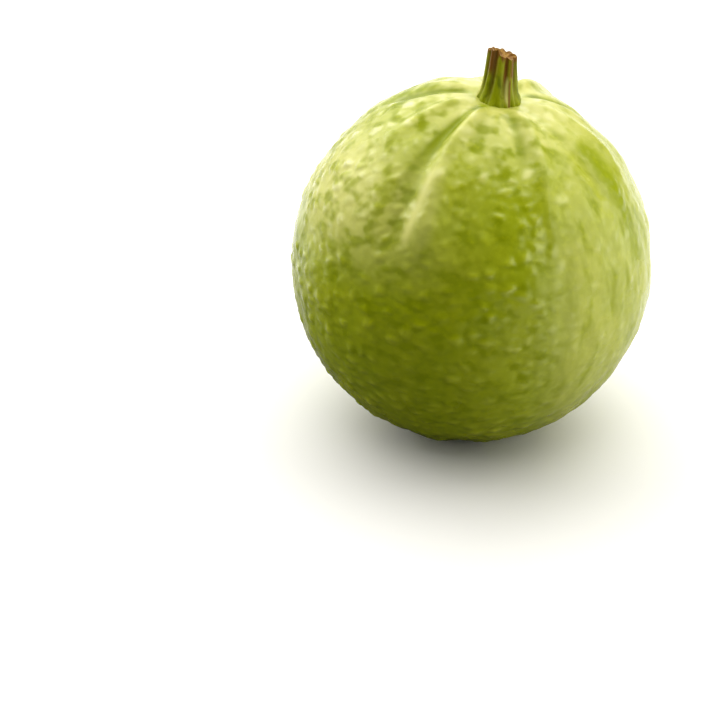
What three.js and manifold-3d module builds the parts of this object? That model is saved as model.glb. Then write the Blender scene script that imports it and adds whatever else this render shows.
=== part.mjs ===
// A whole white-fleshed guava with its stub of stalk and its dried calyx, in millimetres.
// +Z is up, -Y is the front. The fruit stands on a flattened ring round the calyx, at z = 0,
// and the Z axis runs through the middle of its widest ring.
import * as THREE from "three";
import { mergeVertices } from "three/addons/utils/BufferGeometryUtils.js";
import Module from "manifold-3d";

// Driving dimensions of the fruit, measured from the middle of its widest ring.
const WIDEST_RADIUS = 46;
const SHOULDER_RISE = 47; // up to where the shoulders would close if they had no pit
const BASE_DROP = 45.5; // down to where the round base would close if nothing flattened it
const FOOT_DROP = 43.4; // down to the surface it stands on
const OUT_OF_ROUND = 0.008; // share of the radius by which the widest ring is oval
const OVAL_AZIMUTH = 70; // degrees from +X, the long way of that oval

// The stalk's end leans towards +X and the calyx's end away from it, so the fruit's own axis is bent.
const STALK_LEAN = 7; // degrees
const CALYX_LEAN = 2; // degrees

// Hollows round the stalk and round the calyx. The steeper one has a flat floor and a clear rim.
const PIT = { depth: 2.2, reach: 7, steepness: 2 };
const BASIN = { depth: 5.4, reach: 7.5, steepness: 4 };

// Ribs that run down from the stalk: azimuth in degrees from +X, height, and the angle from the
// stalk at which they have faded. A negative height is a furrow.
const RIBS = [
  { azimuth: 12, height: 0.5, fade: 42 },
  { azimuth: 29, height: -0.9, fade: 72 },
  { azimuth: 60, height: 1.7, fade: 50 },
  { azimuth: 94, height: 0.6, fade: 56 },
  { azimuth: 112, height: -0.5, fade: 60 },
  { azimuth: 130, height: 0.4, fade: 42 },
  { azimuth: 149, height: 0.7, fade: 36 },
  { azimuth: 170, height: -0.9, fade: 44 },
  { azimuth: 188, height: 0.4, fade: 38 },
  { azimuth: 205, height: 1.0, fade: 46 },
  { azimuth: 235, height: -0.9, fade: 70 },
  { azimuth: 246, height: 1.8, fade: 74 },
  { azimuth: 256, height: -0.4, fade: 40 },
  { azimuth: 270, height: 0.7, fade: 38 },
  { azimuth: 285, height: -0.6, fade: 44 },
  { azimuth: 298, height: 1.0, fade: 60 },
  { azimuth: 327, height: -0.5, fade: 62 },
  { azimuth: 351, height: 0.8, fade: 56 },
];
const RIB_START = 5; // degrees from the stalk's axis, under the rim of its foot
const RIB_FULL = 16; // degrees
const RIB_FADING = 20; // degrees over which a rib fades
const RIB_HALF_WIDTH = { atStalk: 1.3, atWidest: 3.8 };
const RIB_WANDER = { degrees: 2.5, bends: 5 };

// Low ribs that run out from the calyx.
const BASE_RIBS = { count: 10, height: 0.45, full: 24, fade: 52 };

// Low lumps and dents, set on a golden spiral over the whole skin.
const LUMPS = { count: 400, height: 0.3, halfWidth: 4.2 };
const LUMP_FREE = { from: 16, to: 30 }; // degrees round either end over which the lumps come in

const MERIDIANS = 88;
const RINGS = 56;
const RING_CROWDING = 0.35; // how much closer the rings lie at the two ends

// The stalk's stub: a root in the fruit, a flared foot just above the skin, and a fluted shank.
const STUB = {
  rootDepth: 4, rootRadius: 3.9, footRise: 1.2, footLip: 0.35, footRadius: 5,
  flare: 1.3, topRadius: 3.6, height: 12.6, rows: 8,
};
const STUB_LEAN = 3; // degrees towards +X
const STUB_CUT = { slant: 0.8, highAzimuth: 200, ripple: 0.3, from: 0.6, hollow: 0.7, hollowRadius: 2 };
const STUB_SEGMENTS = 60;
const GROOVES = [28, 66, 104, 146, 200, 239, 286, 330]; // azimuths in degrees
const GROOVE = { depth: 0.8, halfWidth: 10 };

// The dried calyx: a disc in a crown of five short lobes, on a root in the fruit.
const CALYX = {
  rootDepth: 1.5, rootRadius: 3.6, underside: 0.7, crownRadius: 4.35, crownHeight: 1.4, wall: 0.7,
  crest: 0.25, discRadius: 3.3, discEdge: 1, discRing: 1.1, discMiddle: 0.8,
};
const LOBES = { count: 5, reach: 1.25, rise: 0.95, turn: 24, fullness: 0.8 };
const CALYX_SEGMENTS = 50;

const GAP = 0.3; // between a root and its socket
const CUT_SEGMENTS = 40;

const SKIN = new THREE.MeshStandardMaterial({ color: 0x9fae3a, roughness: 0.38, metalness: 0 });
const STALK_GREEN = new THREE.MeshStandardMaterial({ color: 0x66701e, roughness: 0.6, metalness: 0 });
const CALYX_BROWN = new THREE.MeshStandardMaterial({ color: 0x6e4b28, roughness: 0.85, metalness: 0 });

const { degToRad, smoothstep, clamp, lerp } = THREE.MathUtils;
const UP = new THREE.Vector3(0, 0, 1);
const BACK = new THREE.Vector3(0, 1, 0); // turning about it leans UP towards +X
const bell = (offset, halfWidth, steepness = 2) => Math.exp(-(Math.abs(offset / halfWidth) ** steepness));
const wrapped = (angle) => Math.atan2(Math.sin(angle), Math.cos(angle));

// Where a direction lies, seen from an axis that leans towards +X: its angle from the axis and its
// azimuth round it.
function aroundAxis(direction, leanDegrees) {
  const seen = direction.clone().applyAxisAngle(BACK, -degToRad(leanDegrees));
  return { angle: Math.acos(clamp(seen.z, -1, 1)), azimuth: Math.atan2(seen.y, seen.x) };
}

// Smooth egg shape: an oval widest ring with a taller half above it than below.
function smoothRadius(direction) {
  const azimuth = Math.atan2(direction.y, direction.x);
  const girth = WIDEST_RADIUS * (1 + OUT_OF_ROUND * Math.cos(2 * (azimuth - degToRad(OVAL_AZIMUTH))));
  const rise = direction.z > 0 ? SHOULDER_RISE : BASE_DROP;
  return 1 / Math.hypot(direction.x / girth, direction.y / girth, direction.z / rise);
}

function ribHeight({ angle, azimuth }) {
  const grown = smoothstep(angle, degToRad(RIB_START), degToRad(RIB_FULL));
  const halfWidth = lerp(RIB_HALF_WIDTH.atStalk, RIB_HALF_WIDTH.atWidest, Math.sin(angle));
  return RIBS.reduce((height, rib) => {
    const start = degToRad(rib.azimuth);
    const wander = degToRad(RIB_WANDER.degrees) * Math.sin(RIB_WANDER.bends * (angle + start));
    const across = WIDEST_RADIUS * Math.sin(angle) * wrapped(azimuth - start - wander);
    const left = 1 - smoothstep(angle, degToRad(rib.fade - RIB_FADING), degToRad(rib.fade));
    return height + rib.height * grown * left * bell(across, halfWidth);
  }, 0);
}

function baseRibHeight({ angle, azimuth }) {
  const fromCalyx = Math.PI - angle;
  const grown = smoothstep(fromCalyx, degToRad(RIB_START), degToRad(BASE_RIBS.full));
  const left = 1 - smoothstep(fromCalyx, degToRad(BASE_RIBS.full), degToRad(BASE_RIBS.fade));
  return BASE_RIBS.height * grown * left * Math.cos(BASE_RIBS.count * azimuth);
}

// Directions spread evenly over a sphere, each with a height between -1 and 1.
function goldenSpiral(count) {
  const turn = Math.PI * (3 - Math.sqrt(5));
  return Array.from({ length: count }, (_, i) => {
    const z = 1 - (2 * i + 1) / count;
    const across = Math.sqrt(1 - z * z);
    const towards = new THREE.Vector3(across * Math.cos(i * turn), across * Math.sin(i * turn), z);
    return { towards, height: Math.sin(i * i) };
  });
}

const lumps = goldenSpiral(LUMPS.count);

function lumpHeight(direction, fromEnd) {
  const grown = smoothstep(fromEnd, degToRad(LUMP_FREE.from), degToRad(LUMP_FREE.to));
  return LUMPS.height * grown * lumps.reduce((height, lump) => {
    const away = WIDEST_RADIUS * direction.distanceTo(lump.towards);
    return height + lump.height * bell(away, LUMPS.halfWidth);
  }, 0);
}

// How far the skin lies from the fruit's centre in a direction.
function skinRadius(direction) {
  const stalkEnd = aroundAxis(direction, STALK_LEAN);
  const calyxEnd = aroundAxis(direction, CALYX_LEAN);
  const fromCalyx = Math.PI - calyxEnd.angle;
  return smoothRadius(direction)
    - PIT.depth * bell(WIDEST_RADIUS * stalkEnd.angle, PIT.reach, PIT.steepness)
    - BASIN.depth * bell(WIDEST_RADIUS * fromCalyx, BASIN.reach, BASIN.steepness)
    + ribHeight(stalkEnd)
    + baseRibHeight(calyxEnd)
    + lumpHeight(direction, Math.min(stalkEnd.angle, fromCalyx));
}

// The direction of one end of the fruit's axis: up for the stalk, down for the calyx.
function axisEnd(leanDegrees, sign) {
  return UP.clone().applyAxisAngle(BACK, degToRad(leanDegrees)).multiplyScalar(sign);
}

// Places a piece built along +Z from the origin on the skin at one end of the fruit's axis.
function placeOnSkin(object, end, upright) {
  object.position.copy(end).multiplyScalar(skinRadius(end)).addScaledVector(UP, FOOT_DROP);
  object.quaternion.setFromUnitVectors(UP, upright);
  object.updateMatrixWorld(true);
  return object;
}

// Keeps only the positions and welds them, so that the surface is closed.
function welded(geometry) {
  geometry.deleteAttribute("normal");
  geometry.deleteAttribute("uv");
  return mergeVertices(geometry, 1e-4);
}

const wasm = await Module();
wasm.setup();

function toSolid(geometry) {
  const closed = welded(geometry.clone());
  const vertProperties = new Float32Array(closed.attributes.position.array);
  return new wasm.Manifold(new wasm.Mesh({
    numProp: 3, vertProperties, triVerts: new Uint32Array(closed.index.array),
  }));
}

function toGeometry(solid) {
  const mesh = solid.getMesh();
  const geometry = new THREE.BufferGeometry();
  geometry.setAttribute("position", new THREE.BufferAttribute(mesh.vertProperties, 3));
  geometry.setIndex(new THREE.BufferAttribute(mesh.triVerts, 1));
  geometry.computeVertexNormals();
  return geometry;
}

// A plain round cutter that reaches from depth below the skin to well above it.
function socketCutter(end, upright, radius, depth) {
  const above = 2 * STUB.footRadius;
  const plug = new THREE.CylinderGeometry(radius, radius, depth + above, CUT_SEGMENTS);
  plug.rotateX(Math.PI / 2);
  plug.translate(0, 0, (above - depth) / 2);
  return plug.applyMatrix4(placeOnSkin(new THREE.Object3D(), end, upright).matrixWorld);
}

// A globe whose poles lie at the two ends of the bent axis, pushed out or in to the skin.
function fruitGeometry() {
  const globe = new THREE.SphereGeometry(1, MERIDIANS, RINGS);
  globe.rotateX(Math.PI / 2);
  const skin = welded(globe);
  const points = skin.attributes.position;
  for (let i = 0; i < points.count; i++) {
    const even = new THREE.Vector3().fromBufferAttribute(points, i).normalize();
    const azimuth = Math.atan2(even.y, even.x);
    const evenAngle = Math.acos(clamp(even.z, -1, 1));
    const angle = evenAngle - (RING_CROWDING / 2) * Math.sin(2 * evenAngle);
    const lean = degToRad(lerp(STALK_LEAN, CALYX_LEAN, smoothstep(angle, 0, Math.PI)));
    const direction = new THREE.Vector3(
      Math.sin(angle) * Math.cos(azimuth), Math.sin(angle) * Math.sin(azimuth), Math.cos(angle),
    ).applyAxisAngle(BACK, lean);
    const point = direction.clone().multiplyScalar(skinRadius(direction));
    points.setXYZ(i, point.x, point.y, Math.max(0, point.z + FOOT_DROP));
  }
  return skin;
}

function makeFruit(stalkEnd, stubUpright, calyxEnd) {
  const whole = toSolid(fruitGeometry());
  const stalkSocket = socketCutter(stalkEnd, stubUpright, STUB.rootRadius + GAP, STUB.rootDepth + GAP);
  const calyxSocket = socketCutter(calyxEnd, calyxEnd, CALYX.rootRadius + GAP, CALYX.rootDepth + GAP);
  const fruit = whole.subtract(toSolid(stalkSocket)).subtract(toSolid(calyxSocket));
  return new THREE.Mesh(toGeometry(fruit), SKIN);
}

// The outline is turned into a smooth stub, then the grooves are pressed in and the top is cut aslant.
function makeStalk() {
  const { footRise, footRadius, height, rootDepth, rootRadius, topRadius } = STUB;
  const shank = Array.from({ length: STUB.rows }, (_, row) => {
    const share = (row + 1) / STUB.rows;
    const radius = lerp(topRadius, footRadius, (1 - share) ** STUB.flare);
    return new THREE.Vector2(radius, lerp(footRise + STUB.footLip, height, share));
  });
  const outline = [
    new THREE.Vector2(0, -rootDepth),
    new THREE.Vector2(rootRadius, -rootDepth),
    new THREE.Vector2(rootRadius, footRise),
    new THREE.Vector2(footRadius, footRise + STUB.footLip),
    ...shank,
    new THREE.Vector2(STUB_CUT.hollowRadius, height - STUB_CUT.hollow / 2),
    new THREE.Vector2(0, height - STUB_CUT.hollow),
  ];
  const stub = new THREE.LatheGeometry(outline, STUB_SEGMENTS);
  stub.rotateX(Math.PI / 2);
  const points = stub.attributes.position;
  for (let i = 0; i < points.count; i++) {
    const point = new THREE.Vector3().fromBufferAttribute(points, i);
    const azimuth = Math.atan2(point.y, point.x);
    const radius = Math.hypot(point.x, point.y);
    const outward = smoothstep(radius, 0, topRadius);
    const fluted = outward * smoothstep(point.z, footRise, height / 2);
    const pressed = GROOVE.depth * fluted * Math.max(...GROOVES.map(
      (at) => bell(wrapped(azimuth - degToRad(at)), degToRad(GROOVE.halfWidth)),
    ));
    const narrowed = radius > 0 ? 1 - pressed / radius : 1;
    const nearTop = outward * smoothstep(point.z, height * STUB_CUT.from, height);
    const slant = STUB_CUT.slant * Math.cos(azimuth - degToRad(STUB_CUT.highAzimuth));
    const ripple = STUB_CUT.ripple * Math.cos(GROOVES.length * azimuth / 2);
    points.setXYZ(i, point.x * narrowed, point.y * narrowed, point.z + nearTop * (slant + ripple));
  }
  return new THREE.Mesh(toGeometry(toSolid(stub)), STALK_GREEN);
}

// The outline is turned into a round cup, then its rim is drawn out into lobes.
function makeCalyx() {
  const { rootDepth, rootRadius, underside, crownRadius, crownHeight, wall, crest, discRadius } = CALYX;
  const outline = [
    new THREE.Vector2(0, -rootDepth),
    new THREE.Vector2(rootRadius, -rootDepth),
    new THREE.Vector2(rootRadius, underside),
    new THREE.Vector2(crownRadius, underside + crest),
    new THREE.Vector2(crownRadius, crownHeight),
    new THREE.Vector2(crownRadius - wall, crownHeight + crest),
    new THREE.Vector2(discRadius, CALYX.discEdge),
    new THREE.Vector2(discRadius / 2, CALYX.discRing),
    new THREE.Vector2(0, CALYX.discMiddle),
  ];
  const cup = new THREE.LatheGeometry(outline, CALYX_SEGMENTS);
  cup.rotateX(Math.PI / 2);
  const points = cup.attributes.position;
  for (let i = 0; i < points.count; i++) {
    const point = new THREE.Vector3().fromBufferAttribute(points, i);
    const azimuth = Math.atan2(point.y, point.x);
    const radius = Math.hypot(point.x, point.y);
    const onRim = smoothstep(point.z, underside + crest, crownHeight)
      * smoothstep(radius, discRadius, crownRadius - wall);
    const wave = (1 + Math.cos(LOBES.count * (azimuth - degToRad(LOBES.turn)))) / 2;
    const lobe = onRim * wave ** LOBES.fullness;
    const spread = radius > 0 ? 1 + LOBES.reach * lobe / radius : 1;
    points.setXYZ(i, point.x * spread, point.y * spread, point.z + LOBES.rise * lobe);
  }
  return new THREE.Mesh(toGeometry(toSolid(cup)), CALYX_BROWN);
}

const stalkEnd = axisEnd(STALK_LEAN, 1);
const stubUpright = axisEnd(STUB_LEAN, 1);
const calyxEnd = axisEnd(CALYX_LEAN, -1);

const fruit = makeFruit(stalkEnd, stubUpright, calyxEnd);
fruit.name = "fruit";

const stalk = placeOnSkin(makeStalk(), stalkEnd, stubUpright);
stalk.name = "stalk";

const calyx = placeOnSkin(makeCalyx(), calyxEnd, calyxEnd);
calyx.name = "calyx";

const guava = new THREE.Group();
guava.add(fruit, stalk, calyx);

export default guava;
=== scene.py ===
import math

import bpy
import numpy as np
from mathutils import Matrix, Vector, noise


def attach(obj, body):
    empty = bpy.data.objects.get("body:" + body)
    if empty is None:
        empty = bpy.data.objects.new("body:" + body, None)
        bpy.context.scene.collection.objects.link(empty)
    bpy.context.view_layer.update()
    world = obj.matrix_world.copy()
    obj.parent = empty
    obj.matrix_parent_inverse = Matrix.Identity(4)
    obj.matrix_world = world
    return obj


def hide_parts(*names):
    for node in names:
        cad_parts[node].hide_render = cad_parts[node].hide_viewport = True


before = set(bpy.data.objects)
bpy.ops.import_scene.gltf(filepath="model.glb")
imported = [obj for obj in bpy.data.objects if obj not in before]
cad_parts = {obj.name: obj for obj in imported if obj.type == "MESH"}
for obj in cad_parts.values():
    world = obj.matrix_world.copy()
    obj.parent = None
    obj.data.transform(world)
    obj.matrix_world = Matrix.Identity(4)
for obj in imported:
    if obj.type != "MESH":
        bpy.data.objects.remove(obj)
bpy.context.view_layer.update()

MM = 0.001

# Driving dimensions of the fruit, measured from the middle of its widest ring, as the solids have them.
WIDEST_RADIUS = 46 * MM
SHOULDER_RISE = 47 * MM
BASE_DROP = 45.5 * MM
FOOT_DROP = 43.4 * MM
OUT_OF_ROUND = 0.008
OVAL_AZIMUTH = 70

STALK_LEAN = 7  # degrees
CALYX_LEAN = 2

# The pit at the stalk and the basin round the calyx: depth, reach along the skin, and how steep the side is.
PIT_DEPTH, PIT_REACH, PIT_STEEPNESS = 2.2 * MM, 7 * MM, 2
BASIN_DEPTH, BASIN_REACH, BASIN_STEEPNESS = 5.4 * MM, 7.5 * MM, 4

# Ribs from the stalk: azimuth, height in millimetres and the angle at which each has faded.
RIBS = [
    (12, 0.5, 42), (29, -0.9, 72), (60, 1.7, 50), (94, 0.6, 56), (112, -0.5, 60), (130, 0.4, 42),
    (149, 0.7, 36), (170, -0.9, 44), (188, 0.4, 38), (205, 1.0, 46), (235, -0.9, 70), (246, 1.8, 74),
    (256, -0.4, 40), (270, 0.7, 38), (285, -0.6, 44), (298, 1.0, 60), (327, -0.5, 62), (351, 0.8, 56),
]
RIB_START, RIB_FULL, RIB_FADING = 5, 16, 20  # degrees: where ribs begin and are full, and how long they fade
RIB_HALF_WIDTH_AT_STALK, RIB_HALF_WIDTH_AT_WIDEST = 1.3 * MM, 3.8 * MM
RIB_WANDER, RIB_BENDS = 2.5, 5  # degrees to either side, and how fast the bends follow each other
FURROW_TINT = 0.25  # near the stalk, this share of a furrow's depth paints as much shade as all of it does further out
# Low ribs from the calyx: how many, how high, and the degrees at which they are full and faded.
BASE_RIB_COUNT, BASE_RIB_HEIGHT, BASE_RIB_FULL, BASE_RIB_FADE = 10, 0.45 * MM, 24, 52
LUMP_COUNT, LUMP_HEIGHT, LUMP_HALF_WIDTH = 400, 0.3 * MM, 4.2 * MM
LUMPS_COME = (16, 30)  # degrees from either end over which the lumps come in

OCTAVE_FALL, OCTAVE_STEP = 1.0, 2.0  # each finer layer of a noise is half as high and half as wide
# Relief too fine for the solids: how far apart its forms lie, how high they are, and the shift that keeps
# each noise from repeating another.
BUMP_SPACING, BUMP_HEIGHT, BUMP_SHIFT = 4.0 * MM, 0.55 * MM, 3.1
BUMP_SQUEEZE = 1.35  # bumps are this much wider than they are tall
BUMP_SIDE = 0.9  # how much nearer than the next bump one is where it has full height, in spacings
BUMP_SUNK = 0.6  # share of a bump's height that lies under the smooth skin
LOWEST_BUMP, RIGHT_BUMP = 0.35, 0.3  # shares of a full bump's height: the lowest, and on the right side
BUMP_SCATTER = 7  # spreads the middles of bumps far enough apart for each to have a height of its own
STROKE_SPACING, STROKE_HEIGHT, STROKE_SHIFT = 3.8 * MM, 0.22 * MM, 7.7
STROKE_STRETCH = 0.35  # strokes run up and down the right side
RIGHT_SIDE = (0.25, 0.6)  # shares of the way towards +X over which the right side comes in
WART_SPACING, WART_HEIGHT, WART_SHIFT = 2.8 * MM, 0.12 * MM, 5.3
GRAIN_SPACING, GRAIN_HEIGHT, GRAIN_SHIFT = 1.5 * MM, 0.04 * MM, 11.3
RELIEF_COMES = (5, 20)  # degrees from either end over which the relief comes in
CALM_SHARE, CALM_TOP = 0.5, (30, 48)  # its share near the stalk, and the degrees over which it gets full
SHEEN_STREAK_CALM = 0.8  # share of the relief smoothed away under the streak of painted sheen

# The streak of painted sheen on the crest of the longest rib, and the band of painted shade on the right
# shoulder: azimuth, half width and the angles from the stalk between which each lies.
SHEEN_STREAK, SHADE_BAND = (243, 1.5 * MM, 34, 66), (337, 4.2 * MM, 24, 76)
BAND_END = 8  # degrees over which either comes in and ends
# The left shoulder, where pale sheen is painted: its azimuth and half width, and the angles from the stalk
# over which it comes and fades.
SHEEN_FLANK_AZIMUTH, SHEEN_FLANK_HALF_WIDTH, SHEEN_FLANK_COMES, SHEEN_FLANK_FADES = 200, 42, (28, 52), (62, 84)
# The front, where the waxy film is thinnest and shade is painted: its azimuth and half width, and over which
# angles it comes in.
BARE_SHADED_AZIMUTH, BARE_SHADED_HALF_WIDTH, BARE_SHADED_COMES = 252, 36, (44, 68)
# Millimetres along the skin from the stalk's axis: where the painted shade round the stub ends, and where the
# painted pale sheen of the top thins out. Mottles and creases end the sheen that much sooner.
STUB_SHADE_ENDS, TOP_SHEEN_ENDS = (5.0, 9.0), (14.0, 46.0)
MOTTLES_SOONER, CREASES_SOONER = 12.0, 10.0
STUB_SHADE_SHARE, STUB_SHADE_IN_FURROWS = 0.4, 0.6  # how deep the painted shade round the stub is, and how much more so in furrows
SPOTS_LOST, STRIPES_GAINED = 0.75, 0.8  # on the right side
CREASE_ENDS = 0.6  # height of a bump, as a share of a full one, up to which its side counts as a crease
FURROW_SHOWS, RIB_SHOWS = (0.2, 0.8), (0.6, 1.8)  # millimetres of depth or height over which a furrow's painted shade and a rib's painted sheen show
# How the band of painted shade shows, its most share, and its gaps at spots and stripes.
BAND_SHOWS, BAND_SHARE, GAPS_AT_SPOTS, GAPS_AT_STRIPES = (0.0, 0.9), 0.85, 0.35, 0.6
SKIN_CELLS = 128  # along each edge of the six-sided grid of the skin
MERGE_DECIMALS = 6  # directions that agree to so many decimals are one point of the grid

# The stub of stalk, measured from the skin along its own leaning axis.
STUB_LEAN = 3
STUB_HEIGHT = 12.6 * MM
STUB_ROOT = 2.4 * MM
STUB_TOP_RADIUS, STUB_FOOT_RADIUS, STUB_FLARE = 3.6 * MM, 5.0 * MM, 1.3
STUB_SEGMENTS, STUB_ROWS, STUB_CAP_ROWS = 216, 90, 22
FOOT_SWELL, FOOT_RAGGED = 0.5 * MM, 0.6 * MM  # of the torn edge where the stub meets the skin
FOOT_LEVEL, FOOT_REACH = 0.6 * MM, 1.6 * MM
GROOVES = [28, 66, 104, 146, 200, 239, 286, 330]
GROOVE_DEPTH, GROOVE_HALF_WIDTH = 0.8 * MM, 10
GROOVES_COME = (0.2 * MM, STUB_HEIGHT / 2)
FIBRE_SPACING, FIBRE_SHIFT, FIBRE_HEIGHT = 0.16, 5.2, 0.1 * MM  # spacing on a ring of radius 1
RAGGED_SPACING, RAGGED_SHIFT = 0.3, 9.4
FIBRE_CHANGE, RAGGED_CHANGE = 7, 5  # how fast the fibres change along the stub
BARK_TWIST = 8  # degrees by which grooves and streaks turn from the foot to the cut
# Streaks on the stub, brown ones and pale ones that are painted glints: azimuth and half width in degrees,
# and the shares of the height between which each lies.
BROWN_STREAKS = [(224, 26, 0.55, 1.4), (288, 8, 0.4, 1.4), (314, 15, 0.45, 1.4), (304, 5, -0.4, 0.65),
                 (28, 14, 0.4, 1.4), (104, 16, 0.3, 1.4), (160, 12, 0.6, 1.4)]
GLINT_STREAKS = [(294, 5, 0.02, 0.66), (48, 7, 0.1, 0.7), (182, 6, 0.0, 0.6)]
STREAK_END = 0.22  # share of the height over which a streak comes in and ends
STREAK_WANDER = 0.1  # share of the height by which the end of a streak wanders
RIM_BROWNING = 0.86  # share of the height above which all the bark is brown

# The cut across the stub: its slant, its one high lobe and its ragged rim.
CUT_SLANT, CUT_HIGH_AZIMUTH = 0.8 * MM, 200
CUT_LOBE_AZIMUTH, CUT_LOBE_HALF_WIDTH, CUT_LOBE_STEEPNESS, CUT_LOBE_RISE = 232, 32, 4, 1.0 * MM
CUT_RAGGED = 0.35 * MM
CUT_SHAPED_FROM = 0.6  # share of the stub's height above which these come in
CUT_SINK = 0.1 * MM  # how far the middle of the cut lies below the lowest point of its rim
CUT_CRUMB_SPACING, CUT_CRUMB_HEIGHT, CUT_CRUMB_SHIFT = 0.7 * MM, 0.22 * MM, 4.4
# Shares of the way from the rim to the middle over which the cut sinks and its crumb and colour come in.
CUT_SINKS, CUT_CRUMB_COMES, CUT_COLOUR_COMES = (0, 0.6), (0, 0.2), (0.02, 0.2)
LAST_RING = 0.002  # radius of the ring at the middle of the cut, as a share of the rim's

# The calyx, measured from the floor of its basin.
CALYX_ROOT, CALYX_SKIRT = 1.2 * MM, 0.6 * MM
CALYX_CROWN_RADIUS, CALYX_CROWN_HEIGHT, CALYX_WALL = 4.35 * MM, 1.4 * MM, 0.7 * MM
# The level where the crown begins to widen, how tall its lip is, and how far its rim is rounded.
CALYX_FOOT, CALYX_LIP, CALYX_RIM_RISE = 0.1 * MM, 0.4 * MM, 0.25 * MM
CALYX_DISC_RADIUS, CALYX_DISC_HEIGHT = 3.3 * MM, 1.0 * MM
# How far the disc rises half way in and dips at its middle, and the radius of its last ring.
DISC_RISE, DISC_DENT, DISC_LAST_RING = 0.1 * MM, 0.2 * MM, 0.02 * MM
LOBE_COUNT, LOBE_REACH, LOBE_RISE, LOBE_TURN = 5, 1.25 * MM, 0.95 * MM, 24  # turn in degrees
LOBE_BLUNTNESS, LOBE_RAGGEDNESS, LOBE_MOST = 0.8, 0.35, 1.15
LOBES_FROM_LEVEL = 0.9 * MM
LOBE_RAGGED_SPACING, LOBE_RAGGED_SHIFT = 0.22, 2.6  # spacing on a ring of radius 1
CALYX_CRUMB_SPACING, CALYX_CRUMB_HEIGHT, CALYX_CRUMB_SHIFT = 0.8 * MM, 0.2 * MM, 6.6
CALYX_CRUMB_FULL = 1 * MM  # radius from which the crumb has its full height
CALYX_SEGMENTS, CALYX_ROWS = 240, 60

# The photograph's view: where the middle of the fruit lies in it, and how large the fruit is.
PHOTO_SIDE = 720
PHOTO_CENTRE = (471, 262)
PHOTO_SCALE = 3935  # pixels to the metre at the fruit
LENS, SENSOR = 110, 36  # millimetres on the camera
ELEVATION = 28  # degrees

# Lamps: middle from the middle of the fruit in metres, size, turn in degrees and brightness.
OVERHEAD_LAMP = ((-0.36, 0.75, 0.55), (2.09, 1.84), (0, 0, -4), 1.87)
RIGHT_LAMP = ((0.5, -0.11, 0.23), (0.54, 0.81), (0, 90, 0), 1.88)
FILL_LAMP = ((-0.05, -0.33, 0.52), (0.4, 0.3), (32, 0, -9), 2.2)
LEFT_LAMP = ((-0.55, 0.02, 0.14), (0.4, 0.5), (0, -84, 0), 1.7)
LAMP_COLOUR = (1, 0.98, 0.92)
WORLD_DIM, WORLD_BRIGHT = (0.015, 0.015, 0.01), (1.1, 1.1, 1.1)
BEHIND_COMES, RIGHT_COMES = (0.0, 0.5), (0.35, 0.6)  # how far a direction points towards +Y, and towards +X
FLOOR_HALF_SIDE = 4.0
FLOOR_DIM_ENDS = (-0.02, 0.12)  # metres from the middle over which the floor's dim part ends
FLOOR_DIM_SHARE = 0.7  # share of the dimming in the light that falls on the skin. Reflections get all of it


def smooth_step(value, start, end):
    """0 up to start and 1 from end on, smooth between them."""
    share = np.clip((value - start) / (end - start), 0, 1)
    return share * share * (3 - 2 * share)


def slope_in(angle, start, end):
    """0 up to start and 1 from end on, for an angle in radians and two in degrees."""
    return smooth_step(angle, math.radians(start), math.radians(end))


def bell(offset, half_width, steepness=2):
    """1 at no offset, about a third at half_width, and 0 far from it."""
    return np.exp(-np.abs(offset / half_width) ** steepness)


def blend(low, high, share):
    return low + (high - low) * share


def wrapped(angle):
    """The same angle between minus half a turn and half a turn."""
    return np.arctan2(np.sin(angle), np.cos(angle))


def around_axis(directions, lean):
    """Angle from an axis that leans towards +X, and azimuth round it, for each direction."""
    sine, cosine = math.sin(math.radians(lean)), math.cos(math.radians(lean))
    along = directions[:, 0] * sine + directions[:, 2] * cosine
    across = directions[:, 0] * cosine - directions[:, 2] * sine
    return np.arccos(np.clip(along, -1, 1)), np.arctan2(directions[:, 1], across)


def smooth_radius(directions):
    """The fruit's round form, without its ribs, lumps and ends."""
    azimuth = np.arctan2(directions[:, 1], directions[:, 0])
    girth = WIDEST_RADIUS * (1 + OUT_OF_ROUND * np.cos(2 * (azimuth - math.radians(OVAL_AZIMUTH))))
    rise = np.where(directions[:, 2] > 0, SHOULDER_RISE, BASE_DROP)
    stretched = directions / np.stack([girth, girth, rise], axis=1)
    return 1 / np.linalg.norm(stretched, axis=1)


def rib_heights(angle, azimuth):
    """Height of the ribs and depth of the furrows, apart, so that each can be coloured."""
    grown = slope_in(angle, RIB_START, RIB_FULL)
    half_width = blend(RIB_HALF_WIDTH_AT_STALK, RIB_HALF_WIDTH_AT_WIDEST, np.sin(angle))
    ribs, furrows = np.zeros_like(angle), np.zeros_like(angle)
    for at, height, fade in RIBS:
        start = math.radians(at)
        wander = math.radians(RIB_WANDER) * np.sin(RIB_BENDS * (angle + start))
        across = WIDEST_RADIUS * np.sin(angle) * wrapped(azimuth - start - wander)
        left = 1 - slope_in(angle, fade - RIB_FADING, fade)
        share = abs(height) * MM * grown * left * bell(across, half_width)
        if height > 0:
            ribs += share
        else:
            furrows += share
    return ribs, furrows


def base_rib_height(angle, azimuth):
    from_calyx = math.pi - angle
    grown = slope_in(from_calyx, RIB_START, BASE_RIB_FULL)
    left = 1 - slope_in(from_calyx, BASE_RIB_FULL, BASE_RIB_FADE)
    return BASE_RIB_HEIGHT * grown * left * np.cos(BASE_RIB_COUNT * azimuth)


def lump_height(directions):
    """Low lumps and dents on a golden spiral, whose heights follow no pattern that shows."""
    turn = math.pi * (3 - math.sqrt(5))
    total = np.zeros(len(directions))
    for i in range(LUMP_COUNT):
        up = 1 - (2 * i + 1) / LUMP_COUNT
        across = math.sqrt(1 - up * up)
        towards = np.array([across * math.cos(i * turn), across * math.sin(i * turn), up])
        away = WIDEST_RADIUS * np.linalg.norm(directions - towards, axis=1)
        total += math.sin(i * i) * bell(away, LUMP_HALF_WIDTH)
    return LUMP_HEIGHT * total


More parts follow.
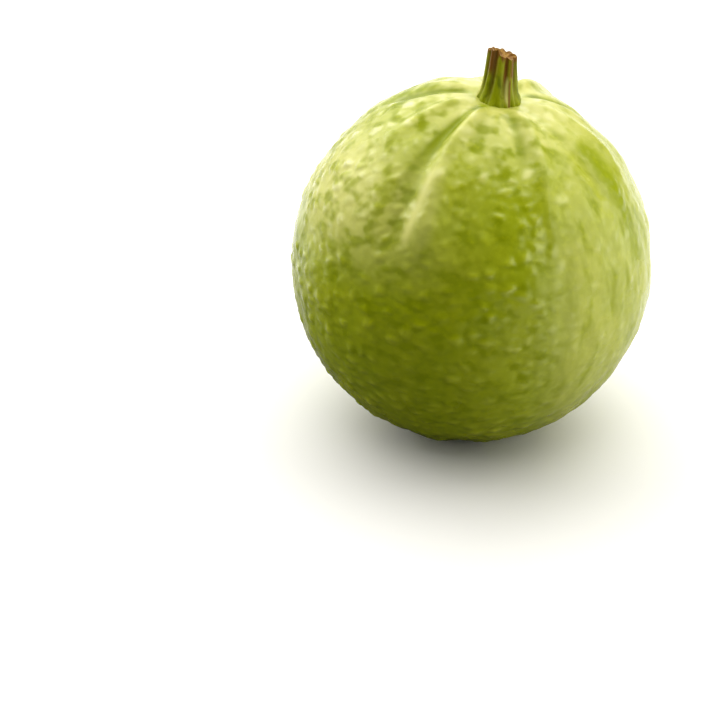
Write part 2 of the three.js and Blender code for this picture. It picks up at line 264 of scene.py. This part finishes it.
def noise_layer(points, spacing, shift, octaves=1):
    """Smooth noise over points, about -1 to 1, whose lumps lie about spacing apart."""
    offset = Vector((shift, 2 * shift, 3 * shift))
    at = (points / spacing).tolist()
    if octaves == 1:
        return np.array([noise.noise(Vector(p) + offset) for p in at])
    return np.array([noise.fractal(Vector(p) + offset, OCTAVE_FALL, OCTAVE_STEP, octaves) for p in at])


def bump_layer(points, spacing, shift):
    """Round bumps side by side, 1 on top of each and 0 in the creases between them, and how tall each is."""
    offset = Vector((shift, 2 * shift, 3 * shift))
    at = (points / spacing).tolist()
    crease, share = np.empty(len(at)), np.empty(len(at))
    for i, p in enumerate(at):
        distances, centres = noise.voronoi(Vector(p) + offset)
        crease[i] = distances[1] - distances[0]
        share[i] = noise.cell(centres[0] * BUMP_SCATTER)
    return smooth_step(crease, 0, BUMP_SIDE), share


def skin_shape(directions):
    """For each direction: radius of the skin, height of ribs, depth of furrows, and angle from the calyx."""
    stalk_angle, stalk_azimuth = around_axis(directions, STALK_LEAN)
    calyx_angle, calyx_azimuth = around_axis(directions, CALYX_LEAN)
    from_calyx = math.pi - calyx_angle
    ribs, furrows = rib_heights(stalk_angle, stalk_azimuth)
    lumpy = slope_in(np.minimum(stalk_angle, from_calyx), *LUMPS_COME)
    radius = (
        smooth_radius(directions)
        - PIT_DEPTH * bell(WIDEST_RADIUS * stalk_angle, PIT_REACH, PIT_STEEPNESS)
        - BASIN_DEPTH * bell(WIDEST_RADIUS * from_calyx, BASIN_REACH, BASIN_STEEPNESS)
        + ribs - furrows
        + base_rib_height(calyx_angle, calyx_azimuth)
        + lumpy * lump_height(directions)
    )
    return radius, ribs, furrows, from_calyx


def axis_end(lean, sign=1):
    """Direction of an axis that leans towards +X, upwards or, with a sign of -1, downwards."""
    return sign * np.array([math.sin(math.radians(lean)), 0, math.cos(math.radians(lean))])


def on_skin(end):
    """Where one end of the fruit's axis meets the skin."""
    radius = skin_shape(end[None, :])[0][0]
    return radius * end + np.array([0, 0, FOOT_DROP])


def new_piece(name, points, faces, node, marks):
    """A smooth mesh that rides on the fruit and stands for one of the solids, which it hides."""
    mesh = bpy.data.meshes.new(name)
    mesh.from_pydata(points.tolist(), [], faces)
    mesh.shade_smooth()
    for label, values in marks.items():
        mesh.attributes.new(label, "FLOAT", "POINT").data.foreach_set("value", values.astype(np.float32))
    piece = bpy.data.objects.new(name, mesh)
    bpy.context.scene.collection.objects.link(piece)
    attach(piece, "root")
    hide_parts(node)
    return piece


def cube_sphere(cells):
    """Even directions over a sphere and the four-sided faces between them, from the six sides of a cube."""
    ticks = np.tan(np.linspace(-1, 1, cells + 1) * math.pi / 4)
    a, b = np.meshgrid(ticks, ticks, indexing="ij")
    one = np.ones_like(a)
    sides = [(one, a, b), (-one, b, a), (b, one, a), (a, -one, b), (a, b, one), (b, a, -one)]
    corners = np.concatenate([np.stack(side, axis=-1).reshape(-1, 3) for side in sides])
    corners /= np.linalg.norm(corners, axis=1)[:, None]
    rounded = corners.round(MERGE_DECIMALS)
    _, first, merged = np.unique(rounded, axis=0, return_index=True, return_inverse=True)
    grid = np.arange((cells + 1) ** 2).reshape(cells + 1, cells + 1)
    quads = np.stack([grid[:-1, :-1], grid[1:, :-1], grid[1:, 1:], grid[:-1, 1:]], axis=-1).reshape(-1, 4)
    faces = np.concatenate([quads + side * (cells + 1) ** 2 for side in range(len(sides))])
    return corners[first], merged.reshape(-1)[faces]


def band_mark(angle, azimuth, middle, half_width, start, end):
    """A band down the skin, with soft sides and ends."""
    across = WIDEST_RADIUS * np.sin(angle) * wrapped(azimuth - math.radians(middle))
    begun, ended = slope_in(angle, start, start + BAND_END), slope_in(angle, end - BAND_END, end)
    return bell(across, half_width) * begun * (1 - ended)


def sheen_flank_mark(angle, azimuth):
    across = wrapped(azimuth - math.radians(SHEEN_FLANK_AZIMUTH)) / math.radians(SHEEN_FLANK_HALF_WIDTH)
    return bell(across, 1) * slope_in(angle, *SHEEN_FLANK_COMES) * (1 - slope_in(angle, *SHEEN_FLANK_FADES))


def bare_shaded_front_mark(angle, azimuth):
    across = wrapped(azimuth - math.radians(BARE_SHADED_AZIMUTH)) / math.radians(BARE_SHADED_HALF_WIDTH)
    return bell(across, 1) * slope_in(angle, *BARE_SHADED_COMES)


def make_skin():
    """The skin with its fine relief, and the marks by which its material is spread."""
    directions, faces = cube_sphere(SKIN_CELLS)
    radius, ribs, furrows, from_calyx = skin_shape(directions)
    stalk_angle, stalk_azimuth = around_axis(directions, STALK_LEAN)
    sphere = directions * WIDEST_RADIUS
    right_side = smooth_step(directions[:, 0], *RIGHT_SIDE)
    bumps, tallness = bump_layer(sphere * (1, 1, BUMP_SQUEEZE), BUMP_SPACING, BUMP_SHIFT)
    bumps = bumps * blend(LOWEST_BUMP, 1, np.abs(tallness)) * blend(1, RIGHT_BUMP, right_side)
    strokes = noise_layer(sphere * (1, 1, STROKE_STRETCH), STROKE_SPACING, STROKE_SHIFT) * right_side
    warts = noise_layer(sphere, WART_SPACING, WART_SHIFT, octaves=2)
    grain = noise_layer(sphere, GRAIN_SPACING, GRAIN_SHIFT)
    sheen_streak = band_mark(stalk_angle, stalk_azimuth, *SHEEN_STREAK)
    grown = slope_in(stalk_angle, RIB_START, RIB_FULL)
    rough = slope_in(np.minimum(stalk_angle, from_calyx), *RELIEF_COMES)
    rough *= blend(CALM_SHARE, 1, slope_in(stalk_angle, *CALM_TOP)) * (1 - SHEEN_STREAK_CALM * sheen_streak)
    radius = radius + rough * (BUMP_HEIGHT * (bumps - BUMP_SUNK) + STROKE_HEIGHT * strokes
                               + WART_HEIGHT * warts + GRAIN_HEIGHT * grain)
    points = directions * radius[:, None] + np.array([0, 0, FOOT_DROP])
    points[:, 2] = np.maximum(points[:, 2], 0)
    # Several marks place painted light in the colour: sheen on a streak, the left shoulder, the ribs and the
    # right side, and shade in furrows, a band and the front.
    marks = {
        "rib": ribs / MM,
        "furrow": furrows / MM / blend(FURROW_TINT, 1, grown),
        "bump": bumps,
        "sheen_streak": sheen_streak,
        "sheen_flank": sheen_flank_mark(stalk_angle, stalk_azimuth),
        "bare_shaded_front": bare_shaded_front_mark(stalk_angle, stalk_azimuth),
        "right": right_side,
        "band": band_mark(stalk_angle, stalk_azimuth, *SHADE_BAND),
        "from_stalk": WIDEST_RADIUS * stalk_angle / MM,
    }
    return new_piece("guava_skin", points, faces.tolist(), "fruit", marks)


def unit_ring(segments):
    """Azimuths round a ring of radius 1, and its points."""
    azimuth = np.linspace(0, 2 * math.pi, segments, endpoint=False)
    return azimuth, np.stack([np.cos(azimuth), np.sin(azimuth), np.zeros_like(azimuth)], axis=1)


def closed_rings(rows, segments):
    """Faces between rings of points, from the first ring to the last, and over both ends."""
    faces = []
    for row in range(rows - 1):
        for i in range(segments):
            j = (i + 1) % segments
            low, high = row * segments, (row + 1) * segments
            faces.append((low + i, low + j, high + j, high + i))
    last = (rows - 1) * segments
    faces.append(tuple(range(last, last + segments)))
    faces.append(tuple(reversed(range(segments))))
    return faces


def leaning(points, start, upright):
    """Points built along +Z from the origin, moved to start and leaned to upright."""
    turn = Vector((0, 0, 1)).rotation_difference(Vector(upright)).to_matrix()
    return points @ np.array(turn).T + start


def streak_marks(streaks, azimuth, up):
    """How far each point lies in a streak of bark, for one ring of the stub."""
    return np.max([bell(wrapped(azimuth - math.radians(at)), math.radians(half))
                   * smooth_step(up, low, low + STREAK_END) * (1 - smooth_step(up, high - STREAK_END, high))
                   for at, half, low, high in streaks], axis=0)


def stub_sides(azimuth, fibre, ragged):
    """Rings from the root of the stub to the rim of its cut, and the marks of the bark on each."""
    slant = CUT_SLANT * np.cos(azimuth - math.radians(CUT_HIGH_AZIMUTH))
    lobe = CUT_LOBE_RISE * bell(wrapped(azimuth - math.radians(CUT_LOBE_AZIMUTH)),
                                math.radians(CUT_LOBE_HALF_WIDTH), CUT_LOBE_STEEPNESS)
    rings, marks = [], {"brown": [], "pale": [], "groove": [], "cut": []}
    for share in np.linspace(0, 1, STUB_ROWS):
        along = blend(-STUB_ROOT, STUB_HEIGHT, share)
        up = max(along / STUB_HEIGHT, 0)
        radius = blend(STUB_TOP_RADIUS, STUB_FOOT_RADIUS, (1 - up) ** STUB_FLARE)
        fluted = smooth_step(along, *GROOVES_COME)
        foot = (FOOT_SWELL + FOOT_RAGGED * ragged) * bell(along - FOOT_LEVEL, FOOT_REACH)
        turned = azimuth - math.radians(BARK_TWIST) * (up - 0.5)
        grooved = np.max([bell(wrapped(turned - math.radians(at)), math.radians(GROOVE_HALF_WIDTH))
                          for at in GROOVES], axis=0)
        twist = fibre * math.cos(FIBRE_CHANGE * up) + ragged * math.sin(RAGGED_CHANGE * up)
        section = radius + foot - GROOVE_DEPTH * fluted * grooved + FIBRE_HEIGHT * fluted * twist
        near_top = smooth_step(along, CUT_SHAPED_FROM * STUB_HEIGHT, STUB_HEIGHT)
        z = along + near_top * (slant + lobe + CUT_RAGGED * ragged)
        rings.append(np.stack([section * np.cos(azimuth), section * np.sin(azimuth), z], axis=1))
        browned = smooth_step(up + STREAK_WANDER * ragged, RIM_BROWNING, 1)
        wandering = up + STREAK_WANDER * twist
        marks["brown"].append(np.maximum(browned, streak_marks(BROWN_STREAKS, turned, wandering)))
        # The pale streaks are painted glints.
        marks["pale"].append(streak_marks(GLINT_STREAKS, turned, wandering))
        marks["groove"].append(grooved * fluted)
        marks["cut"].append(np.zeros_like(azimuth))
    return rings, marks


def add_cut(rings, marks):
    """Adds the rings over the cut, from its rim to its middle, where the marks of the bark fade."""
    rim, brown, groove = rings[-1], marks["brown"][-1], marks["groove"][-1]
    lowest = rim[:, 2].min() - CUT_SINK
    for share in np.linspace(0, 1, STUB_CAP_ROWS + 1)[1:]:
        inner = rim.copy()
        inner[:, :2] *= max(1 - share, LAST_RING)
        crumb = noise_layer(inner, CUT_CRUMB_SPACING, CUT_CRUMB_SHIFT, octaves=3)
        level = blend(rim[:, 2], lowest, smooth_step(share, *CUT_SINKS))
        inner[:, 2] = level + CUT_CRUMB_HEIGHT * crumb * smooth_step(share, *CUT_CRUMB_COMES)
        rings.append(inner)
        marks["brown"].append(brown * (1 - share))
        marks["pale"].append(np.zeros_like(brown))
        marks["groove"].append(groove * (1 - share))
        marks["cut"].append(np.full_like(brown, smooth_step(share, *CUT_COLOUR_COMES)))


def make_stalk():
    azimuth, circle = unit_ring(STUB_SEGMENTS)
    fibre = noise_layer(circle, FIBRE_SPACING, FIBRE_SHIFT)
    ragged = noise_layer(circle, RAGGED_SPACING, RAGGED_SHIFT, octaves=3)
    rings, marks = stub_sides(azimuth, fibre, ragged)
    add_cut(rings, marks)
    points = leaning(np.concatenate(rings), on_skin(axis_end(STALK_LEAN)), axis_end(STUB_LEAN))
    marks = {name: np.concatenate(values) for name, values in marks.items()}
    faces = closed_rings(len(rings), STUB_SEGMENTS)
    return new_piece("stalk_stub", points, faces, "stalk", marks)


def calyx_outline():
    """Radius and level of each ring, up the outside of the crown, over its rim and in over the disc."""
    outline = [
        (CALYX_CROWN_RADIUS - CALYX_SKIRT, -CALYX_ROOT),
        (CALYX_CROWN_RADIUS - CALYX_SKIRT, CALYX_FOOT),
        (CALYX_CROWN_RADIUS, CALYX_CROWN_HEIGHT - CALYX_LIP),
        (CALYX_CROWN_RADIUS, CALYX_CROWN_HEIGHT),
        (CALYX_CROWN_RADIUS - CALYX_WALL / 2, CALYX_CROWN_HEIGHT + CALYX_RIM_RISE),
        (CALYX_CROWN_RADIUS - CALYX_WALL, CALYX_CROWN_HEIGHT),
        (CALYX_DISC_RADIUS, CALYX_DISC_HEIGHT),
        (CALYX_DISC_RADIUS / 2, CALYX_DISC_HEIGHT + DISC_RISE),
        (DISC_LAST_RING, CALYX_DISC_HEIGHT - DISC_DENT),
    ]
    steps = np.linspace(0, len(outline) - 1, CALYX_ROWS)
    radii = np.interp(steps, range(len(outline)), [radius for radius, _ in outline])
    levels = np.interp(steps, range(len(outline)), [level for _, level in outline])
    return zip(radii, levels)


def make_calyx():
    azimuth, circle = unit_ring(CALYX_SEGMENTS)
    ragged = noise_layer(circle, LOBE_RAGGED_SPACING, LOBE_RAGGED_SHIFT, octaves=3)
    wave = (1 + np.cos(LOBE_COUNT * (azimuth - math.radians(LOBE_TURN)))) / 2
    lobe = np.clip(wave ** LOBE_BLUNTNESS * (1 + LOBE_RAGGEDNESS * ragged), 0, LOBE_MOST)
    rings, rim_mark = [], []
    for radius, level in calyx_outline():
        on_rim = float(smooth_step(level, LOBES_FROM_LEVEL, CALYX_CROWN_HEIGHT)
                       * smooth_step(radius, CALYX_DISC_RADIUS, CALYX_CROWN_RADIUS - CALYX_WALL))
        spread = radius + LOBE_REACH * lobe * on_rim
        ring = np.stack([spread * np.cos(azimuth), spread * np.sin(azimuth),
                         level + LOBE_RISE * lobe * on_rim], axis=1)
        crumb = noise_layer(ring, CALYX_CRUMB_SPACING, CALYX_CRUMB_SHIFT, octaves=3)
        ring[:, 2] += CALYX_CRUMB_HEIGHT * crumb * smooth_step(radius, 0, CALYX_CRUMB_FULL)
        rings.append(ring)
        rim_mark.append(np.full_like(azimuth, smooth_step(radius, CALYX_DISC_RADIUS, CALYX_CROWN_RADIUS)))
    down = axis_end(CALYX_LEAN, -1)
    points = leaning(np.concatenate(rings), on_skin(down), down)
    faces = closed_rings(len(rings), CALYX_SEGMENTS)
    return new_piece("calyx_crown", points, faces, "calyx", {"rim": np.concatenate(rim_mark)})


def add_node(tree, kind, inputs=None, **settings):
    """A shader node with its settings made and its inputs filled by values or by other nodes' outputs."""
    made = tree.nodes.new("ShaderNode" + kind)
    for name, value in settings.items():
        setattr(made, name, value)
    for name, value in (inputs or {}).items():
        if isinstance(value, bpy.types.NodeSocket):
            tree.links.new(value, made.inputs[name])
        else:
            made.inputs[name].default_value = value
    return made


def mark(tree, name):
    """A mark that the mesh carries at its points."""
    return add_node(tree, "Attribute", attribute_name=name).outputs["Fac"]


def ramp(tree, value, start, end):
    """0 at start and 1 at end, smooth between them."""
    made = add_node(tree, "MapRange", {"Value": value, "From Min": start, "From Max": end},
                    interpolation_type="SMOOTHSTEP")
    return made.outputs["Result"]


def calc(tree, operation, a, b=0.0):
    return add_node(tree, "Math", {0: a, 1: b}, operation=operation).outputs[0]


def share_of(tree, mask, most):
    return calc(tree, "MULTIPLY", mask, most)


def rest_of(tree, mask):
    """Where the mask isn't."""
    return calc(tree, "SUBTRACT", 1.0, mask)


def outside(tree, value, mask):
    """The value where the mask isn't."""
    return calc(tree, "MULTIPLY", value, rest_of(tree, mask))


def either(tree, first, *others):
    """Where any of the masks is."""
    for other in others:
        first = calc(tree, "MAXIMUM", first, other)
    return first


def mix_colour(tree, share, under, over):
    """One colour laid over another. The node's colour sockets share their names, so they go by place."""
    made = tree.nodes.new("ShaderNodeMix")
    made.data_type = "RGBA"
    factor, a, b = made.inputs[0], made.inputs[6], made.inputs[7]
    for socket, value in ((factor, share), (a, under), (b, over)):
        if isinstance(value, bpy.types.NodeSocket):
            tree.links.new(value, socket)
        else:
            socket.default_value = value if socket is factor else (*value, 1)
    return made.outputs[2]


def new_group(name, inputs, output, kind):
    """An empty shader node group with named number inputs, at their usual values, and one output."""
    group = bpy.data.node_groups.new(name, "ShaderNodeTree")
    for label, value in inputs.items():
        group.interface.new_socket(label, in_out="INPUT", socket_type="NodeSocketFloat").default_value = value
    group.interface.new_socket(output, in_out="OUTPUT", socket_type=kind)
    return group, group.nodes.new("NodeGroupInput").outputs, group.nodes.new("NodeGroupOutput").inputs


def patches_group():
    """A mask of soft patches that lie about Spacing apart, and closer up and down by Flatness."""
    group, given, wanted = new_group(
        "patches", {"Spacing": 0.01, "Flatness": 1.0, "Detail": 2.0, "Low": 0.4, "High": 0.6},
        "Mask", "NodeSocketFloat")
    flattened = add_node(group, "CombineXYZ", {"X": 1.0, "Y": 1.0, "Z": given["Flatness"]})
    where = add_node(group, "VectorMath", {0: add_node(group, "TexCoord").outputs["Object"],
                                           1: flattened.outputs["Vector"]}, operation="MULTIPLY").outputs[0]
    scale = calc(group, "DIVIDE", 1.0, given["Spacing"])
    cloud = add_node(group, "TexNoise", {"Vector": where, "Scale": scale, "Detail": given["Detail"]})
    group.links.new(ramp(group, cloud.outputs["Fac"], given["Low"], given["High"]), wanted["Mask"])
    return group


def pores_group():
    """Pits and grains too small for the mesh, as a normal."""
    group, given, wanted = new_group(
        "pores", {"Spacing": 0.001, "Depth": 0.0001}, "Normal", "NodeSocketVector")
    where = add_node(group, "TexCoord").outputs["Object"]
    scale = calc(group, "DIVIDE", 1.0, given["Spacing"])
    cloud = add_node(group, "TexNoise", {"Vector": where, "Scale": scale, "Detail": 3.0})
    bump = add_node(group, "Bump", {"Height": cloud.outputs["Fac"], "Distance": given["Depth"]})
    group.links.new(bump.outputs["Normal"], wanted["Normal"])
    return group


def place_group(tree, group, **values):
    """One group placed in a material with its own values, and its output."""
    placed = tree.nodes.new("ShaderNodeGroup")
    placed.node_tree = group
    for label, value in values.items():
        placed.inputs[label].default_value = value
    return placed.outputs[0]


def new_material(name, **constants):
    """A material with its shader, whose even values are set on the shader's own sockets."""
    material = bpy.data.materials.new(name)
    material.use_nodes = True
    tree = material.node_tree
    tree.nodes.clear()
    shader = add_node(tree, "BsdfPrincipled", constants)
    add_node(tree, "OutputMaterial", {"Surface": shader.outputs["BSDF"]})
    return material, tree, shader


# Shares of red, green and blue light that each finish throws back.
SKIN_DEEP = (0.34, 0.40, 0.001)
SKIN_MID = (0.46, 0.50, 0.004)
# Painted sheen: pale colour laid where the lamps would be reflected.
SKIN_SHEEN = (0.60, 0.59, 0.18)
SKIN_DARK = (0.13, 0.17, 0.001)
BARK_OLIVE, BARK_DARK = (0.26, 0.30, 0.001), (0.10, 0.13, 0.001)
BARK_BROWN, BARK_GLINT, GROOVE_BROWN = (0.17, 0.07, 0.006), (0.55, 0.52, 0.16), (0.11, 0.07, 0.003)
CUT_TAN, CUT_BROWN = (0.33, 0.18, 0.03), (0.18, 0.08, 0.012)
FLOOR_PALE, FLOOR_DIM = (0.85, 0.85, 0.85), (0.06, 0.06, 0.05)
DISC_TAN, DISC_BROWN, RIM_BROWN = (0.34, 0.20, 0.08), (0.16, 0.075, 0.025), (0.05, 0.02, 0.006)


def skin_material(patches, pores):
    """Deep green under a waxy coat, which mottles, creases and furrows break. It is thin in front. Pale sheen
    is painted on the top, the left shoulder, the right side, the ribs and a streak, and highlights on bump
    tops;
    shade is painted in creases, furrows, a band, round the stub and over the front.
    """
    material, tree, shader = new_material("waxy guava skin", **{
        "IOR": 1.46, "Specular IOR Level": 0.1, "Specular Tint": (1, 1, 0.6, 1), "Subsurface Weight": 0.1,
        "Subsurface Radius": (1.0, 0.9, 0.25), "Subsurface Scale": 0.002, "Coat IOR": 1.85,
        "Coat Roughness": 0.26,
    })
    blotches = place_group(tree, patches, Spacing=14 * MM, Detail=3, Low=0.4, High=0.62)
    spots = place_group(tree, patches, Spacing=4.5 * MM, Flatness=1.5, Detail=1.5, Low=0.42, High=0.7)
    stripes = place_group(tree, patches, Spacing=4 * MM, Flatness=0.3, Detail=2, Low=0.45, High=0.8)
    flecks = place_group(tree, patches, Spacing=1.5 * MM, Detail=2, Low=0.5, High=0.72)
    bump, right, bare_shaded_front, from_stalk = (mark(tree, name) for name in ("bump", "right", "bare_shaded_front", "from_stalk"))

    # Where each kind of mark shows. Mottles are spots, and stripes on the right.
    mottles = either(tree, outside(tree, spots, share_of(tree, right, SPOTS_LOST)),
                     calc(tree, "MULTIPLY", stripes, share_of(tree, right, STRIPES_GAINED)))
    crease = rest_of(tree, ramp(tree, bump, 0.0, CREASE_ENDS))
    furrow = ramp(tree, mark(tree, "furrow"), *FURROW_SHOWS)
    # The band of painted shade has gaps at spots and stripes, and the painted shade round the stub is deepest
    # in furrows.
    gaps = calc(tree, "ADD", share_of(tree, spots, GAPS_AT_SPOTS), share_of(tree, stripes, GAPS_AT_STRIPES))
    band = ramp(tree, calc(tree, "SUBTRACT", mark(tree, "band"), gaps), *BAND_SHOWS)
    band = share_of(tree, band, BAND_SHARE)
    stub_shade = calc(tree, "ADD", STUB_SHADE_SHARE, share_of(tree, furrow, STUB_SHADE_IN_FURROWS))
    stub_shade = outside(tree, stub_shade, ramp(tree, from_stalk, *STUB_SHADE_ENDS))
    # The painted pale sheen of the top ends sooner in mottles and creases.
    sooner = calc(tree, "ADD", share_of(tree, mottles, MOTTLES_SOONER),
                  share_of(tree, crease, CREASES_SOONER))
    top = rest_of(tree, ramp(tree, calc(tree, "ADD", from_stalk, sooner), *TOP_SHEEN_ENDS))

    colour = mix_colour(tree, share_of(tree, blotches, 0.5), SKIN_DEEP, SKIN_MID)
    # Each colour goes over the ones before it, where its mask is, by no more than the share that it has here.
    for mask, most, over in (
        (mottles, 0.5, SKIN_DARK),
        # Painted shade in the creases between bumps.
        (crease, 0.32, SKIN_DARK),
        # Painted highlight on the tops of bumps.
        (ramp(tree, bump, 0.2, 0.9), 0.4, SKIN_MID),
        (flecks, 0.2, SKIN_MID),
        # Painted shade in furrows.
        (furrow, 0.6, SKIN_DARK),
        # Painted shade over the front.
        (bare_shaded_front, 0.34, SKIN_DARK),
        # Painted shade in the band on the right shoulder.
        (band, 0.35, SKIN_DARK),
        # Painted reflection of the right lamp on the right side.
        (outside(tree, right, either(tree, mottles, band)), 0.28, SKIN_SHEEN),
        # Painted sheen on the crests of ribs.
        (ramp(tree, mark(tree, "rib"), *RIB_SHOWS), 0.3, SKIN_SHEEN),
        # Painted pale sheen on the top, round the stalk.
        (outside(tree, top, either(tree, furrow, band)), 0.88, SKIN_SHEEN),
        # Painted sheen along the streak on the longest rib.
        (mark(tree, "sheen_streak"), 0.8, SKIN_SHEEN),
        # Painted pale sheen on the left shoulder.
        (outside(tree, mark(tree, "sheen_flank"), share_of(tree, mottles, 0.7)), 0.8, SKIN_SHEEN),
        # Painted shade round the foot of the stub.
        (stub_shade, 1.0, SKIN_DEEP),
    ):
        colour = mix_colour(tree, share_of(tree, mask, most), colour, over)
    tree.links.new(colour, shader.inputs["Base Color"])

    no_film = either(tree, mottles, stub_shade, band, share_of(tree, furrow, 0.95), share_of(tree, bare_shaded_front, 0.65))
    tree.links.new(outside(tree, ramp(tree, bump, -0.3, 0.7), no_film), shader.inputs["Coat Weight"])
    roughness = add_node(tree, "MapRange", {"Value": blotches, "To Min": 0.2, "To Max": 0.28})
    tree.links.new(roughness.outputs["Result"], shader.inputs["Roughness"])
    tree.links.new(place_group(tree, pores, Spacing=0.8 * MM, Depth=0.02 * MM), shader.inputs["Normal"])
    return material


def stalk_material(patches, pores):
    """Olive bark with dark grooves, brown streaks, pale streaks of painted glint and, on the cut, dry fibres.
    """
    material, tree, shader = new_material("fresh stalk", **{"Specular IOR Level": 0.15})
    patchy = place_group(tree, patches, Spacing=2 * MM, Flatness=0.35, Detail=3, Low=0.42, High=0.8)
    colour = mix_colour(tree, patchy, BARK_OLIVE, BARK_DARK)
    colour = mix_colour(tree, share_of(tree, mark(tree, "groove"), 0.7), colour, GROOVE_BROWN)
    colour = mix_colour(tree, mark(tree, "brown"), colour, BARK_BROWN)
    # Painted glints along the stub, in pale streaks.
    colour = mix_colour(tree, mark(tree, "pale"), colour, BARK_GLINT)
    fibres = place_group(tree, patches, Spacing=0.9 * MM, Detail=4, Low=0.4, High=0.6)
    colour = mix_colour(tree, mark(tree, "cut"), colour, mix_colour(tree, fibres, CUT_TAN, CUT_BROWN))
    tree.links.new(colour, shader.inputs["Base Color"])
    roughness = add_node(tree, "MapRange", {"Value": patchy, "To Min": 0.45, "To Max": 0.6})
    tree.links.new(roughness.outputs["Result"], shader.inputs["Roughness"])
    tree.links.new(place_group(tree, pores, Spacing=0.5 * MM, Depth=0.06 * MM), shader.inputs["Normal"])
    return material


def calyx_material(patches, pores):
    """A mottled brown disc in a darker rim."""
    material, tree, shader = new_material("dry calyx", **{"Specular IOR Level": 0.2})
    patchy = place_group(tree, patches, Spacing=0.9 * MM, Detail=4, Low=0.35, High=0.65)
    disc = mix_colour(tree, patchy, DISC_TAN, DISC_BROWN)
    tree.links.new(mix_colour(tree, mark(tree, "rim"), disc, RIM_BROWN), shader.inputs["Base Color"])
    roughness = add_node(tree, "MapRange", {"Value": patchy, "To Min": 0.75, "To Max": 0.95})
    tree.links.new(roughness.outputs["Result"], shader.inputs["Roughness"])
    tree.links.new(place_group(tree, pores, Spacing=0.6 * MM, Depth=0.15 * MM), shader.inputs["Normal"])
    return material


def floor_material():
    """Plain and pale for the camera. On the left of the front it lights the skin less."""
    material, tree, shader = new_material("pale floor", Roughness=0.9)
    where = add_node(tree, "SeparateXYZ", {"Vector": add_node(tree, "TexCoord").outputs["Object"]})
    front = rest_of(tree, ramp(tree, where.outputs["Y"], *FLOOR_DIM_ENDS))
    left = rest_of(tree, ramp(tree, where.outputs["X"], *FLOOR_DIM_ENDS))
    ray = add_node(tree, "LightPath").outputs
    thrown = either(tree, ray["Is Glossy Ray"], share_of(tree, ray["Is Diffuse Ray"], FLOOR_DIM_SHARE))
    dimmed = calc(tree, "MULTIPLY", calc(tree, "MULTIPLY", front, left), thrown)
    tree.links.new(mix_colour(tree, dimmed, FLOOR_PALE, FLOOR_DIM), shader.inputs["Base Color"])
    return material


def make_floor():
    side = FLOOR_HALF_SIDE
    mesh = bpy.data.meshes.new("floor")
    corners = [(-side, -side, 0), (side, -side, 0), (side, side, 0), (-side, side, 0)]
    mesh.from_pydata(corners, [], [(0, 1, 2, 3)])
    floor = bpy.data.objects.new("floor", mesh)
    bpy.context.scene.collection.objects.link(floor)
    mesh.materials.append(floor_material())


def make_softbox(name, middle, size, turn, radiance):
    """A flat soft lamp of even brightness. Middle is measured from the middle of the fruit."""
    lamp = bpy.data.lights.new(name, "AREA")
    lamp.shape = "RECTANGLE"
    lamp.size, lamp.size_y = size
    lamp.color = LAMP_COLOUR
    lamp.energy = radiance * math.pi * size[0] * size[1]
    holder = bpy.data.objects.new(name, lamp)
    holder.location = Vector(middle) + Vector((0, 0, FOOT_DROP))
    holder.rotation_euler = [math.radians(degrees) for degrees in turn]
    bpy.context.scene.collection.objects.link(holder)
    return holder


def make_world():
    """Bright behind the fruit and dim on the camera's side and at the back right, as in a small studio."""
    world = bpy.data.worlds.new("studio")
    bpy.context.scene.world = world
    world.use_nodes = True
    tree = world.node_tree
    where = add_node(tree, "SeparateXYZ", {"Vector": add_node(tree, "TexCoord").outputs["Generated"]})
    behind = ramp(tree, where.outputs["Y"], *BEHIND_COMES)
    open_behind = outside(tree, behind, ramp(tree, where.outputs["X"], *RIGHT_COMES))
    light = mix_colour(tree, open_behind, WORLD_DIM, WORLD_BRIGHT)
    tree.links.new(light, tree.nodes["Background"].inputs["Color"])


def make_camera():
    """Sees the middle of the fruit where the photograph has it, at the photograph's size and angle."""
    elevation = math.radians(ELEVATION)
    focal_pixels = PHOTO_SIDE * LENS / SENSOR
    aside = (PHOTO_CENTRE[0] - PHOTO_SIDE / 2) / focal_pixels
    above = (PHOTO_SIDE / 2 - PHOTO_CENTRE[1]) / focal_pixels
    turn = math.asin(aside / (math.hypot(1, aside, above) * math.cos(elevation)))
    pitch = math.atan2(math.tan(elevation), math.cos(turn)) + math.atan(above)
    data = bpy.data.cameras.new("camera")
    data.lens, data.sensor_width = LENS, SENSOR
    camera = bpy.data.objects.new("camera", data)
    back = Vector((0, -math.cos(elevation), math.sin(elevation)))
    camera.location = Vector((0, 0, FOOT_DROP)) + back * focal_pixels / PHOTO_SCALE
    camera.rotation_euler = (math.pi / 2 - pitch, 0, turn)
    bpy.context.scene.collection.objects.link(camera)
    bpy.context.scene.camera = camera


patches, pores = patches_group(), pores_group()
make_skin().data.materials.append(skin_material(patches, pores))
make_stalk().data.materials.append(stalk_material(patches, pores))
make_calyx().data.materials.append(calyx_material(patches, pores))
make_floor()
make_world()
make_softbox("overhead softbox", *OVERHEAD_LAMP)
make_softbox("right softbox", *RIGHT_LAMP)
# The fills light the skin, but don't show in its gloss.
make_softbox("fill", *FILL_LAMP).visible_glossy = False
make_softbox("left fill", *LEFT_LAMP).visible_glossy = False
make_camera()
bpy.context.scene.view_settings.view_transform = "Standard"
